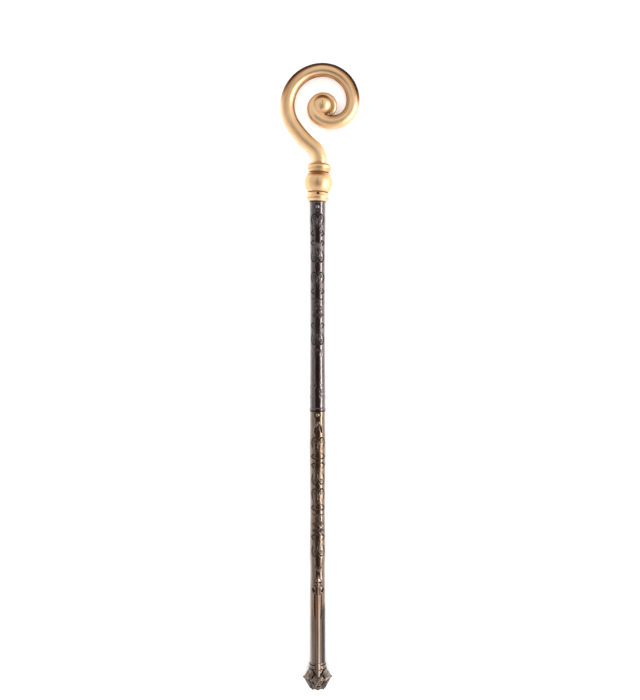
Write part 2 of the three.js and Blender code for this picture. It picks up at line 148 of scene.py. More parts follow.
FLUTE_LOW = 189.5
FLUTE_BAR = [(11.4, LEAF_ROOT + 2), (11.0, FLUTE_LOW + 12), (6, FLUTE_LOW)]
FLUTE_INSIDE = [(7.6, LEAF_ROOT + 1), (7.5, FLUTE_LOW + 20), (5.4, FLUTE_LOW + 2)]
FLUTE_OUTSIDE = [(14.6, LEAF_ROOT + 3), (14.2, FLUTE_LOW + 12), (8.4, FLUTE_LOW - 2)]
RIB_HALF_WIDTH = 6.2
RIB_RISE = 2.4
RIB_TIP = 33.5
RIB_EDGE_WIDTH = 0.9

# Foot
FOOT_SIDES = 8
FOOT_RADIUS = 38.0
FOOT_BELT = 30.8
FOOT_SHOULDER = 21.7
FOOT_END_RADIUS = 21.8
FOOT_TOP_RADIUS = 25.2
RINGS_LOW = FOOT_BELT + FOOT_SHOULDER
END_RING_TOP = 71.5
FOOT_COLUMNS = 264
FOOT_ROW = 0.62
# Height and radius at the corners
FOOT_PROFILE = [
    (0, FOOT_END_RADIUS), (FOOT_BELT - 1.2, FOOT_RADIUS - 0.4), (FOOT_BELT + 1.2, FOOT_RADIUS - 0.5),
    (RINGS_LOW, FOOT_TOP_RADIUS - 0.8), (54, 23.8), (56, 24.6), (57.5, 25.0), (59, 24.4), (60.5, 23.1),
    (63, 22.6), (64, 22.9), (65.6, 23.3), (67, 22.8), (68.5, 21.5), (END_RING_TOP, 21.1),
]
# The lattice's bars: points, width and rise
FOOT_BARS = [
    ([(22.5, 56), (15, 50.4), (11, 44.2), (4.7, 37.3), (0, RIB_TIP)], 4.6, 2.2),
    ([(0, 25.5), (7, 13.5), (12.5, 1)], 4.6, 1.8),
    ([(36, 30.8), (24, 28.7), (13, 32.4)], 3.6, 1.5),
    ([(24, 28.5), (20, 18), (11, 6.5)], 3.6, 1.4),
]
# Grooves beside the bars: points, width, depth and darkness (wash and painted shade)
FOOT_GROOVES = [
    ([(15.5, 54.5), (7.2, 43.5)], 2.4, 1.4, 0.95),
    ([(25, 53.5), (13.5, 43), (3.5, 32)], 1.6, 0.6, 0.6),
    ([(3.5, 24), (10.2, 12), (15.5, 2)], 1.7, 0.8, 0.7),
    ([(32, 27.6), (22, 25.4), (14, 29)], 1.6, 0.7, 0.7),
]
# Slots between the bars: start, end, width, depth and painted shade
FOOT_SLOTS = [
    ((17.2, 34.3), (12.6, 41.5), 3.2, 2.2, 1.0),
    ((8, 43.8), (12.2, 49.6), 3.2, 2.2, 1.0),
    ((11, 17.6), (15.8, 25.6), 3.6, 2.0, 1.0),
    ((18.5, 3), (18, 13), 4.6, 2.4, 1.0),
    ((7.4, 4.5), (9.6, 7.5), 2.0, 1.2, 0.8),
]
FOOT_RING = (18.6, 11.3)
SIDE_BEAD = (27.6, 41.2)
FRONT_BEAD = (1.0, 28.8)
NUB_RADIUS = 3.4
NUB_RISE = 2.2
# Rows that close the foot's end, from its middle out: scale across, share of the height kept, and lift
FOOT_END_ROWS = [(0.3, 0, 3.6), (0.62, 0, 3.0), (0.72, 1, 0.4), (0.93, 1, 0.25)]

# Head, in its own frame: heights run from the seat on the shaft
HEAD_LEAN = math.radians(2.9)
KNOP_CENTRE = 52.3
KNOP_RADIUS = 37.4
KNOP_COLUMNS = 168
NECK_RADIUS = 26.0
UPPER_COLLAR_LENGTH = 30.5
COLLAR_LIP = 1.5
COLLAR_STEPS = 46
# Radius and height of the collars' turned lines
LOWER_COLLAR = [(23.4, 1.4), (26.2, 4), (28.4, 8), (29.4, 12.2), (28.2, 17), (26.3, 21)]
UPPER_COLLAR = [
    (27.2, 81.3), (29.5, 85.4), (31.4, 89.5), (32.1, 93.5), (31.7, 97.2), (30.0, 99.8), (27.2, 101.8),
    (23.4, 103.4), (18.6, 104.6),
]
# Dark lines round the collars: height, width and amount
COLLAR_LINES = [(99.4, 1.3, 0.95), (87.5, 2.2, 0.34), (83, 1.8, 0.25), (8.6, 1.4, 0.4), (104.4, 1.0, 0.5)]
KNOP_REACH = math.sqrt(KNOP_RADIUS ** 2 - NECK_RADIUS ** 2)
STEM = KNOP_CENTRE + KNOP_REACH + UPPER_COLLAR_LENGTH
STEM_SUNK = 8
VENT_HEIGHT = 20.6
VENT_RADIUS = 2.9
VENT_DEPTH = 8
VENT_HALO = math.sqrt(24)
# The crook's bends: radius and turn in degrees
CROOK_BENDS = [
    (48.4, 55.1), (230, -20.2), (97, -114.1), (82.6, -103), (57.6, -132), (29.7, -148.5), (25.7, -130),
]
TUBE_RADII = [20.1, 20.1, 20.1, 18.9, 18.4, 18.6, 12.8, 5.8]
TUBE_INSIDE = 0.3
CROOK_STEP = 1.6
CROOK_SIDES = 72
# Weights of the tube's side and of its front that place the crook's painted shade as seen from above
PAINTED_SHADE_ACROSS = 0.963
PAINTED_SHADE_TILT = 0.269
EYE_RADIUS = 27.9
EYE_ABOVE_KNOP = 211.0
EYE_PATCH = 27.6
EYE_SIDES = 180
EYE_RINGS = 46
EYE_PATH_STEP = 2.5
EYE_PATH_START = 150
EYE_TILT = 0.22

# Studs
STUD_RADIUS = 7.0
STUD_RISE = 3.2
STUD_DOME_RADIUS = 5.2
STUD_DOME_BASE = 0.9
STUD_GROOVE_RADIUS = 5.6
STUD_DOME_STEPS = 14
STUD_COLUMNS = 64
# Painted shade on the stud's first rows: its foot, collar and groove
STUD_SHADE = [1, 0.8, 0.2, 0.5, 1]
STUD_RECESS = 0.9
UPPER_STUD = SEAT - 15
LOWER_STUD = JOINT - 10

# Noises: cells around, length along and height; then the seeds
CROOK_NOISE = [(5, 26, 0.13), (12, 9, 0.05)]
SHAFT_NOISE = [(7, 34, 0.16), (18, 12, 0.10), (52, 4.5, 0.05)]
ROUGH_NOISE = [(40, 5, 0.42), (70, 2.6, 0.26)]
FOOT_NOISE = [(60, 3.4, 0.14), (22, 9, 0.2)]
CROOK_SEED = 11
PAINTED_SHADE_SEED = 14
KNOP_SEED = 21
PATCHY_SEED = 22
UPPER_SEED = 31
LOWER_SEED = 51
FOOT_SEED = 61
FOOT_DIRT_SEED = 63
# Rough stretches of the casting: low end, high end and seed, and the heights that get fine rows for them
ROUGH_PATCHES = [(894, 924, 41), (781, 830, 43)]
ROUGH_ZONES = [(890, 930), (776, 834)]

# Colours: gold's dark, light, and the brown and black of its painted shade; each bronze's dark, light, warm
# and cavity (groove wash and painted shade); each stud's two
GOLD = [(0.76, 0.495, 0.26), (0.865, 0.595, 0.345), (0.29, 0.115, 0.034), (0.024, 0.007, 0.002)]
DARK_BRONZE = [(0.064, 0.049, 0.047), (0.118, 0.094, 0.091), (0.100, 0.067, 0.056), (0.003, 0.0025, 0.0025)]
COPPER_BRONZE = [(0.108, 0.069, 0.045), (0.205, 0.139, 0.096), (0.165, 0.078, 0.038), (0.006, 0.003, 0.002)]
STEEL = [(0.16, 0.155, 0.15), (0.26, 0.25, 0.25)]
BRASS = [(0.22, 0.15, 0.095), (0.34, 0.25, 0.17)]
# Dark of the painted shade round the studs' feet
STUD_SHADE_COLOUR = (0.012, 0.010, 0.009)

# Studio, in metres and watts
FLOOR_HALF = 12.0
FLOOR_COLOURS = [(0.90, 0.90, 0.90), (0.92, 0.92, 0.915)]
WALL_COLOUR = (0.92, 0.92, 0.93)
FAR_WALL_COLOUR = (0.45, 0.36, 0.28)
FAR_WALL_FROM = 0.75
FAR_WALL_TO = 0.98
CARD_HEIGHT = 2.8
CARD_CORNERS = [(-1.7, -1.7), (-2.3, 0.9), (1.6, 0.9), (1.9, -1.7)]
CARD_COLOUR = (0.06, 0.027, 0.014)
SIDE_LIGHT_OUT = 2.75
SIDE_LIGHT_UP = 1.5
SIDE_LIGHT_WIDTH = 1.25
SOFTBOX_LENGTH = 2.5
SOFTBOX_POWER = 76
LOW_LIGHT_ALONG = -1.95
LOW_LIGHT_LENGTH = 1.3
LOW_LIGHT_POWER = 13
OVERHEAD_UP = 5
OVERHEAD_SIZE = 6
OVERHEAD_POWER = 335
SENSOR_WIDTH = 36
CAMERA_LENS = 51.22
CAMERA_PLACE = (0.00013, 0.06898, 2.7365)


def place(points):
    """Staff millimetres to the CAD's frame, in metres, kept inside the CAD's box."""
    moved = points * MM + np.array([AXIS_X, FOOT_END, AXIS_Z])
    return np.clip(moved, np.array(cad_low), np.array(cad_high))


def lean(points):
    """Points of the head, in its own frame, to the staff's frame."""
    c, s = math.cos(HEAD_LEAN), math.sin(HEAD_LEAN)
    x, y, z = points[..., 0], points[..., 1], points[..., 2]
    return np.stack([c * x + s * y, c * y - s * x + SEAT, z], axis=-1)


def turn_about_axis(points, angle):
    """Points turned about the staff's axis, from +Z towards +X."""
    c, s = math.cos(angle), math.sin(angle)
    x, y, z = points[..., 0], points[..., 1], points[..., 2]
    return np.stack([c * x + s * z, y, c * z - s * x], axis=-1)


def skin(name, points, material, dirt_and_shade):
    """A closed skin over points[row][column]: its columns close round, and its two ends are capped."""
    rows, columns = points.shape[:2]
    vertices = place(points).reshape(-1, 3)
    index = np.arange(rows * columns).reshape(rows, columns)
    right = np.roll(index, -1, axis=1)
    quads = np.stack([index[:-1], right[:-1], right[1:], index[1:]], axis=-1).reshape(-1, 4)
    faces = quads.tolist() + [index[0][::-1].tolist(), index[-1].tolist()]
    mesh = bpy.data.meshes.new(name)
    mesh.from_pydata(vertices.tolist(), [], faces)
    mesh.polygons.foreach_set("use_smooth", np.ones(len(faces), dtype=bool))
    # Dark marks for the material: wash in the hollows, and painted shade and reflection
    layer = mesh.attributes.new("dirt_and_shade", "FLOAT", "POINT")
    layer.data.foreach_set("value", np.ascontiguousarray(dirt_and_shade, dtype=np.float32).ravel())
    mesh.materials.append(material)
    mesh.update()
    piece = bpy.data.objects.new(name, mesh)
    bpy.context.scene.collection.objects.link(piece)
    return piece


def stands_for(piece, node):
    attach(piece, "root")
    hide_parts(node)


def smooth(t):
    t = np.clip(t, 0, 1)
    return t * t * (3 - 2 * t)


def grows(value, start, width):
    """0 up to the start, then smoothly to 1 over the width."""
    return smooth((value - start) / width)


def fades(value, end, width):
    """1, then smoothly to 0 over the width before the end."""
    return smooth((end - value) / width)


def hump(value, middle, width):
    return np.exp(-((value - middle) / width) ** 2)


def ring_noise(angle, along, around, length, seed):
    """Smooth noise from -1 to 1 that closes round: cells around the skin, one cell per length along it."""
    draw = np.random.default_rng(seed)
    u = (angle / (2 * math.pi)) % 1 * around
    v = (along - along.min()) / length
    cells = draw.uniform(-1, 1, (around, int(v.max()) + 2))
    i, j = np.floor(u).astype(int) % around, np.floor(v).astype(int)
    a, b = smooth(u - np.floor(u)), smooth(v - np.floor(v))
    i2 = (i + 1) % around
    low = cells[i, j] * (1 - a) + cells[i2, j] * a
    high = cells[i, j + 1] * (1 - a) + cells[i2, j + 1] * a
    return low * (1 - b) + high * b


def noise_sum(angle, along, layers, seed):
    """The sum of several noises, each with a seed one higher than the last."""
    noises = []
    for i, (cells, length, amount) in enumerate(layers):
        noises.append(amount * ring_noise(angle, along, cells, length, seed + i))
    return sum(noises)


def most(layer, where, value):
    layer[where] = np.maximum(layer[where], value)


class Relief:
    """Raised and sunk work on a skin, drawn as seen from the front: x across, y along the staff."""

    def __init__(self, x, y):
        self.x, self.y = x, y
        # Its dark marks are the wash left in the grooves, with painted shade in the deeper slots and pits
        self.raised, self.ridges, self.sunk, self.dirt_and_shade = (np.zeros_like(x) for _ in range(4))

    def near(self, points, reach):
        low, high = points.min(axis=0) - reach, points.max(axis=0) + reach
        inside = (self.x > low[0]) & (self.x < high[0]) & (self.y > low[1]) & (self.y < high[1])
        return np.nonzero(inside)

    def distance(self, points, where, closed=False):
        x, y = self.x[where], self.y[where]
        best = np.full(x.shape, 1e9)
        ends = np.roll(points, -1, axis=0) if closed else points[1:]
        for (ax, ay), (bx, by) in zip(points if closed else points[:-1], ends):
            length = max((bx - ax) ** 2 + (by - ay) ** 2, 1e-9)
            t = np.clip(((x - ax) * (bx - ax) + (y - ay) * (by - ay)) / length, 0, 1)
            best = np.minimum(best, (x - ax - t * (bx - ax)) ** 2 + (y - ay - t * (by - ay)) ** 2)
        return np.sqrt(best)

    def beside(self, points, width, closed=False, reach=1):
        """Where the skin is close to a line, and how far it is from the line in half widths."""
        points = np.array(points, dtype=float)
        where = self.near(points, reach * width)
        return where, self.distance(points, where, closed) / (width / 2)

    def inside(self, outline, where):
        x, y = self.x[where], self.y[where]
        odd = np.zeros(x.shape, dtype=bool)
        for (ax, ay), (bx, by) in zip(outline, np.roll(outline, -1, axis=0)):
            if ay != by:
                odd ^= ((ay > y) != (by > y)) & (x < (bx - ax) * (y - ay) / (by - ay) + ax)
        return odd

    def groove(self, points, width, depth, dirt_and_shade=1.0, closed=False):
        where, far = self.beside(points, width, closed)
        most(self.sunk, where, depth * np.exp(-1.6 * far ** 2))
        most(self.dirt_and_shade, where, dirt_and_shade * np.exp(-1.1 * far ** 2))

    def ridge(self, points, width, rise, clean=0.0):
        where, far = self.beside(points, width)
        most(self.ridges, where, rise * smooth(1 - far))
        self.dirt_and_shade[where] *= 1 - clean * np.exp(-1.5 * far ** 2)

    def roof(self, points, width, rise):
        """A bar with two flat slopes."""
        where, far = self.beside(points, width)
        most(self.ridges, where, rise * np.clip(1 - far, 0, 1))

    def slot(self, start, end, width, depth, dirt_and_shade=1.0):
        where, far = self.beside([start, end], width, reach=2)
        most(self.sunk, where, depth * smooth((1 - far) * 2 + 0.5))
        most(self.dirt_and_shade, where, dirt_and_shade * smooth((1.4 - far) * 2))

    def plate(self, outline, rise, edge=1.4):
        outline = np.array(outline, dtype=float)
        where = self.near(outline, 1)
        depth = np.where(self.inside(outline, where), self.distance(outline, where, True), 0)
        most(self.raised, where, rise * smooth(depth / edge))

    def spot(self, centre, half_x, half_y, reach=1):
        """Where the skin is close to a round form, and how far it is from the middle in half widths."""
        where = self.near(np.array([centre], dtype=float), reach * max(half_x, half_y))
        return where, np.hypot((self.x[where] - centre[0]) / half_x, (self.y[where] - centre[1]) / half_y)

    def dome(self, centre, half_x, half_y, rise, clean=0.0):
        where, far = self.spot(centre, half_x, half_y)
        most(self.ridges, where, rise * np.sqrt(np.clip(1 - far ** 2, 0, 1)))
        self.dirt_and_shade[where] *= 1 - clean * smooth((1.1 - far ** 2) * 3)

    def pit(self, centre, half_x, half_y, depth, dirt_and_shade=1.0, steep=2.5):
        where, far = self.spot(centre, half_x, half_y, reach=1.6)
        most(self.sunk, where, depth * smooth((1 - far) * steep + 0.5))
        most(self.dirt_and_shade, where, dirt_and_shade * smooth((1.25 - far) * steep))

    def height(self):
        return self.raised + self.ridges - self.sunk


def mirror(points, side, height=0.0):
    """Points of the right half, put at a height, for the right side (1) or the left side (-1)."""
    return [(side * x, height + y) for x, y in points]


def closed_outline(half):
    return half + [(-x, y) for x, y in reversed(half) if x > 0]


def rounded(points):
    """A closed outline with its corners cut off, for a cast look."""
    points = np.array(points, dtype=float)
    after = np.roll(points, -1, axis=0)
    keep = 1 - CORNER_CUT
    cut = [keep * points + CORNER_CUT * after, CORNER_CUT * points + keep * after]
    return np.stack(cut, axis=1).reshape(-1, 2)


def spiral(centre, outer, inner, start, turns, squash, steps=18):
    """A volute: it starts at an angle in degrees, and winds in."""
    points = []
    for i in range(steps + 1):
        share = i / steps
        angle = math.radians(start + 360 * turns * share)
        radius = outer + (inner - outer) * share
        points.append((centre[0] + radius * math.cos(angle), centre[1] + squash * radius * math.sin(angle)))
    return points


def ring(centre, radius, squash):
    return spiral(centre, radius, radius, 0, 1, squash, steps=20)


def draw_cartouche(relief, top, direction, barred=False):
    """Strapwork: a hooked plate at v = 0, a trunk, and two scrolled lobes at the far end."""
    start = top - CARTOUCHE_LENGTH if direction > 0 else top

    def at(points, side=1):
        return [(side * u * direction, start + v * direction) for u, v in points]

    lobe_height = CARTOUCHE_LENGTH - LOBE_LENGTH / 2
    valley = CARTOUCHE_LENGTH - LOBE_VALLEY
    half = list(CARTOUCHE_PLATE)
    for i in range(LOBE_STEPS + 1):
        angle = math.radians(LOBE_START + LOBE_TURN * i / LOBE_STEPS)
        along = CARTOUCHE_LENGTH - LOBE_LENGTH / 2 * (1 - math.sin(angle))
        half.append((LOBE_OFFSET + LOBE_HALF_WIDTH * math.cos(angle), along))
    half.append((0, valley))
    relief.plate(rounded(at(closed_outline(half))), RELIEF)
    along = (relief.y - start) * direction
    low_end = (along > -PLATE_MARGIN) & (along < PLATE_FADE + PLATE_MARGIN)
    relief.raised[low_end] *= grows(along[low_end], 1, PLATE_FADE)

    # Hook, trunk, lobe, volute and tail: points, width, depth and dirt
    volute = spiral((LOBE_OFFSET, lobe_height + 2.2), 4.2, 1.2, 235, -1.1, 1.6)
    lines = [
        ([CARTOUCHE_HOOK] + half[1:4], 4.2, 0.9, 1.0), (half[3:6], 1.8, 0.4, 0.6), (half[6:], 3.9, 0.9, 1.0),
        (volute, 1.8, 0.7, 0.8), (CARTOUCHE_TAIL, 1.4, 0.3, 0.4),
    ]
    for side in (1, -1):
        for line, width, depth, dirt_and_shade in lines:
            relief.groove(at(line, side), width, depth, dirt_and_shade)
        relief.ridge(at(CARTOUCHE_VINE, side), 2.4, rise=0.25)
        relief.pit(*at([(14.3, 31)], side), 1.7, 1.9, depth=1.0)
        relief.pit(*at([(6.8, 13.6)], side), 1.1, 1.2, depth=0.7, dirt_and_shade=0.9)
        relief.dome(*at([(12.6, 6)], side), 2.7, 3.2, rise=0.7)
    if barred:
        relief.groove(at([(-11, 0), (11, 0)]), 2.2, depth=0.6, dirt_and_shade=0.85)
    relief.groove(at([(0, valley - 1), (0, 38)]), 1.8, depth=1.0, dirt_and_shade=0.9)
    relief.pit(*at([(0, 32.6)]), 1.5, 4.4, depth=1.5)
    relief.groove(at([(0, 28), (0, 15)]), 1.6, depth=0.5, dirt_and_shade=0.6)


def draw_disc(relief, side, y):
    centre = (side * FORM_ACROSS, y)
    relief.dome(centre, 4.7, 4.9, rise=1.25)
    relief.groove(ring(centre, 5.4, 1.04), 2.2, depth=0.6, dirt_and_shade=0.9)
    relief.pit(centre, 1.3, 1.3, depth=0.4, dirt_and_shade=0.5)


def diamond(x, y, size):
    half_x, half_y = size * DIAMOND_WIDTH, size * DIAMOND_HEIGHT
    return [(x, y - half_y), (x + half_x, y), (x, y + half_y), (x - half_x, y)]


def draw_diamond(relief, side, y):
    outer = diamond(side * FORM_ACROSS, y, 6.4)
    inner = diamond(side * FORM_ACROSS, y, 3.0)
    relief.plate(outer, RELIEF * 0.75, edge=1.2)
    relief.groove(outer, 1.8, depth=0.85, dirt_and_shade=0.85, closed=True)
    relief.groove(inner, 1.8, depth=0.7, dirt_and_shade=0.85, closed=True)
    relief.groove(mirror(DIAMOND_TICK, side, y), 2.2, depth=0.8)


def draw_band(relief, height, forms):
    """The middle field of a length: a wavy band, curls below it, and a pair of columns of small forms."""
    curl = spiral((3.6, -13), 3.6, 1.0, 50, -1.2, 1.1, steps=14)
    for side in (1, -1):
        relief.groove(mirror(BAND_WAVE, side, height), 2.2, depth=0.9, dirt_and_shade=0.95)
        relief.ridge(mirror(BAND_WAVE, side, height - 2.6), 2.6, rise=0.6)
        relief.groove(mirror(curl, side, height), 1.5, depth=0.8, dirt_and_shade=0.9)
        relief.groove(mirror(BAND_STEM, side, height), 1.4, depth=0.7, dirt_and_shade=0.8)
        for row, draw_form in enumerate(forms):
            draw_form(relief, side, height - FORMS_BELOW_BAND - row * FORM_PITCH)


def rows_between(low, high, zones):
    """Heights from low to high, close together inside the zones."""
    heights, at = [low], low
    while at < high:
        fine = any(start - ZONE_MARGIN < at < end + ZONE_MARGIN for start, end in zones)
        at += FINE_ROW if fine else PLAIN_ROW
        heights.append(min(at, high))
    return np.array(heights)


def outline_radius(outline, distance):
    """The CAD's smooth line through an outline's points."""
    points = np.array(outline, dtype=float)
    last = len(points) - 1
    where, radius = [], []
    for i in range(last):
        before, after = points[max(i - 1, 0)], points[min(i + 2, last)]
        start, end = points[i], points[i + 1]
        t = np.linspace(0, 1, 24, endpoint=False)[:, None]
        leave, arrive = (end - before) / 2, (after - start) / 2
        curve = start + leave * t + (3 * (end - start) - 2 * leave - arrive) * t ** 2
        curve = curve + (2 * (start - end) + leave + arrive) * t ** 3
        where.extend(curve[:, 0])
        radius.extend(curve[:, 1])
    return np.interp(distance, where + [points[-1][0]], radius + [points[-1][1]])


def front_angle(angle):
    """The angle from the nearer of the front and the back: the back has the front's ornament again."""
    return (angle + math.pi / 2) % math.pi - math.pi / 2


def grid(heights, columns):
    angle = np.arange(columns) * 2 * math.pi / columns
    return np.meshgrid(angle, heights)


def around(angle, radius, height):
    return np.stack([radius * np.sin(angle), height + 0 * radius, radius * np.cos(angle)], axis=-1)


def turned_rows(profile, columns=SHAFT_COLUMNS):
    """Plain rows of a turned profile, each point a radius and a height."""
    profile = np.array(profile, dtype=float)
    angle, height = grid(profile[:, 1], columns)
    return around(angle, profile[:, :1] + 0 * angle, height)


def by_height(height, pairs):
    """Straight lines between pairs of height and value."""
    return np.interp(height, *zip(*pairs))


def with_ends(low_end, points, high_end, dirt_and_shade, end_shade):
    """A skin's rows and their dark marks, with the rows that close its ends; those get the painted shade
    given for the ends.
    """
    rows = np.concatenate([low_end, points, high_end], axis=0)
    return rows, np.pad(dirt_and_shade, ((len(low_end), len(high_end)), (0, 0)), constant_values=end_shade)


# Materials
class Shader:
    """A short way to write node materials."""

    def __init__(self, name, blocks=bpy.data.materials):
        self.owner = blocks.new(name)
        self.owner.use_nodes = True
        self.tree = self.owner.node_tree

    def node(self, kind, inputs=(), **settings):
        node = self.tree.nodes.new(kind)
        for key, value in settings.items():
            setattr(node, key, value)
        for socket, value in dict(inputs).items():
            self.put(node.inputs[socket], value)
        return node

    def put(self, socket, value):
        if isinstance(value, bpy.types.NodeSocket):
            self.tree.links.new(value, socket)
        else:
            socket.default_value = value

    def noise(self, scale, detail=3, stretch=(1, 1, 1), roughness=0.55):
        coordinates = self.node("ShaderNodeTexCoord").outputs["Object"]
        size = tuple(scale * s for s in stretch)
        mapping = self.node("ShaderNodeMapping", {"Vector": coordinates, "Scale": size})
        inputs = {"Vector": mapping.outputs["Vector"], "Scale": 1.0, "Detail": detail, "Roughness": roughness}
        return self.node("ShaderNodeTexNoise", inputs).outputs["Fac"]

    def remap(self, value, low, high, to_low=0.0, to_high=1.0):
        inputs = {"Value": value, "From Min": low, "From Max": high, "To Min": to_low, "To Max": to_high}
        return self.node("ShaderNodeMapRange", inputs).outputs["Result"]

    def mix(self, factor, first, second):
        mix = self.node("ShaderNodeMix", data_type="RGBA")
        for index, value in ((0, factor), (6, first), (7, second)):
            self.put(mix.inputs[index], (*value, 1) if isinstance(value, tuple) else value)
        return mix.outputs[2]

    def maths(self, operation, first, second):
        return self.node("ShaderNodeMath", {0: first, 1: second}, operation=operation).outputs[0]

    def dirt_and_shade(self):
        return self.node("ShaderNodeAttribute", attribute_name="dirt_and_shade").outputs["Fac"]

    def bump(self, height, distance, strength, normal=None):
        inputs = {"Height": height, "Distance": distance, "Strength": strength}
        if normal is not None:
            inputs["Normal"] = normal
        return self.node("ShaderNodeBump", inputs).outputs["Normal"]

    def finish(self, **sockets):
        for name, value in sockets.items():
            self.put(self.tree.nodes["Principled BSDF"].inputs[name.replace("_", " ")], value)
        return self.owner


def gold_material():
    dark, light, brown, black = GOLD
    shader = Shader("gold")
    cloud = shader.noise(14)
    dirt_and_shade = shader.dirt_and_shade()
    colour = shader.mix(shader.remap(cloud, 0.3, 0.7), dark, light)
    # Brown and black lay the painted shade and reflections over the gold
    colour = shader.mix(shader.remap(dirt_and_shade, 0.0, 0.6), colour, brown)
    colour = shader.mix(shader.remap(dirt_and_shade, 0.55, 1.0), colour, black)
    roughness = shader.remap(shader.noise(55, 4), 0.3, 0.7, 0.39, 0.46)
    normal = shader.bump(shader.noise(900, 2), 0.00012, 0.4, shader.bump(shader.noise(70), 0.0012, 0.2))
    metal = shader.remap(dirt_and_shade, 0.35, 0.85, 0.96, 0.0)
    return shader.finish(
        Base_Color=colour, Metallic=metal, Roughness=roughness, Normal=normal, Specular_IOR_Level=0.05)


def bronze_material(name, colours, patch_scale):
    dark, light, warm, cavity = colours
    shader = Shader(name)
    dirt_and_shade = shader.dirt_and_shade()
    streaks = shader.noise(1, 5, (150, 11, 150), 0.6)
    patches = shader.noise(patch_scale, 4, (1, 0.45, 1))
    colour = shader.mix(shader.remap(streaks, 0.34, 0.66), dark, light)
    colour = shader.mix(shader.remap(patches, 0.5, 0.72), colour, warm)
    # The cavity colour is the wash in the grooves, and painted shade at joints, ends, rib edges and flanks
    colour = shader.mix(shader.remap(dirt_and_shade, 0.08, 0.7), colour, cavity)
    rough_base = shader.remap(shader.noise(60, 4, (1, 0.3, 1)), 0.3, 0.7, 0.07, 0.14)
    roughness = shader.maths("ADD", rough_base, shader.maths("MULTIPLY", dirt_and_shade, 0.35))
    coarse = shader.bump(shader.noise(120, 4, (1, 0.4, 1)), 0.0016, 0.12)
    normal = shader.bump(shader.noise(1100, 2), 0.00012, 0.4, coarse)
    coat = shader.remap(dirt_and_shade, 0.1, 0.7, 0.9, 0.0)
    metal = shader.remap(dirt_and_shade, 0.3, 0.9, 0.95, 0.1)
    return shader.finish(
        Base_Color=colour, Metallic=metal, Roughness=roughness, Normal=normal, Specular_IOR_Level=0.15,
        Coat_Weight=coat, Coat_Roughness=0.06)


def stud_material(name, colours, roughness):
    shader = Shader(name)
    colour = shader.mix(shader.remap(shader.noise(420), 0.35, 0.65), *colours)
    # Painted shade at the stud's foot, collar and groove
    colour = shader.mix(shader.maths("MULTIPLY", shader.dirt_and_shade(), 0.9), colour, STUD_SHADE_COLOUR)
    rough = shader.remap(shader.noise(900), 0.3, 0.7, roughness * 0.75, roughness * 1.3)
    normal = shader.bump(shader.noise(2500, 2), 0.00006, 0.4)
    return shader.finish(Base_Color=colour, Metallic=1.0, Roughness=rough, Normal=normal)


def floor_material():
    shader = Shader("floor")
    colour = shader.mix(shader.remap(shader.noise(3, 2), 0.3, 0.7), *FLOOR_COLOURS)
    normal = shader.bump(shader.noise(240), 0.0003, 0.15)
    return shader.finish(Base_Color=colour, Roughness=0.85, Normal=normal)


gold = gold_material()
bronze = bronze_material("dark_bronze", DARK_BRONZE, 30)
copper = bronze_material("copper_bronze", COPPER_BRONZE, 24)
steel = stud_material("stud_steel", STEEL, 0.12)
brass = stud_material("stud_brass", BRASS, 0.13)


# Head
def crook_path(step):
    """Stations of the crook's middle line: place, heading, distance along it and tube radius."""
    here, heading, distance = np.array([0.0, STEM]), math.pi / 2, 0.0
    stations = [(*here, heading, distance, TUBE_RADII[0])]
    for (radius, turn), start, end in zip(CROOK_BENDS, TUBE_RADII, TUBE_RADII[1:]):
        count = max(2, round(radius * math.radians(abs(turn)) / step))
        part = math.radians(turn) / count
        chord = 2 * radius * math.sin(abs(part) / 2)
        for i in range(count):
            way = heading + part / 2
            here = here + chord * np.array([math.cos(way), math.sin(way)])
            heading += part
            distance += radius * abs(part)
            stations.append((*here, heading, distance, start + (end - start) * (i + 1) / count))
    stations = np.array(stations)
    return stations[:, :2], stations[:, 2], stations[:, 3], stations[:, 4] - TUBE_INSIDE


def crook_painted_shade(angle, along, heading):
    """Painted shade and reflection on the crook, none on its faces: a dark crest where the loop's top mirrors
    dark surroundings, brown along the inner edges and inside the loop where the tube faces itself, and brown
    lines and stripes on the limbs.
    """
    wander = ring_noise(angle, along, 9, 30, PAINTED_SHADE_SEED)
    up = np.cos(heading)
    outer = -PAINTED_SHADE_ACROSS * np.sin(angle) + PAINTED_SHADE_TILT * np.abs(np.cos(angle)) * up
    inner = -outer
    reach = np.sin(heading) ** 2
    crest = grows(up, -0.35, 0.75) * grows(along, 150, 110) * fades(along, 540, 90)
    brown = grows(outer + 0.32 * reach + 0.05 * wander, 0.42, 0.28)
    black = grows(outer + 0.1 * reach, 0.6, 0.16)
    inner_edge = grows(inner + 0.03 * wander, 0.76, 0.1) * grows(along, 40, 60)
    top_lines = (hump(inner, 0.62, 0.1) + 0.8 * hump(inner, 0.1, 0.1)) * hump(along, 330, 120)
    left_stripe = hump(outer, 0.3, 0.22) * hump(along, 215, 60)
    right_inside = grows(inner, 0.36, 0.2) * hump(along, 470, 80)
    low_edge = grows(inner, 0.86, 0.07) * grows(along, 500, 50) * fades(along, 640, 30)
    coil_side = 0.5 * grows(inner, 0.3, 0.25) + 0.42 * grows(up, 0.25, 0.5) * grows(inner, 0.1, 0.3)
    return np.maximum.reduce([
        crest * (0.5 * brown + 0.55 * black), (0.5 + 0.1 * wander) * inner_edge,
        (0.42 + 0.1 * wander) * top_lines, (0.3 + 0.06 * wander) * left_stripe, 0.34 * right_inside, low_edge,
        grows(along, 620, 30) * coil_side,
    ])


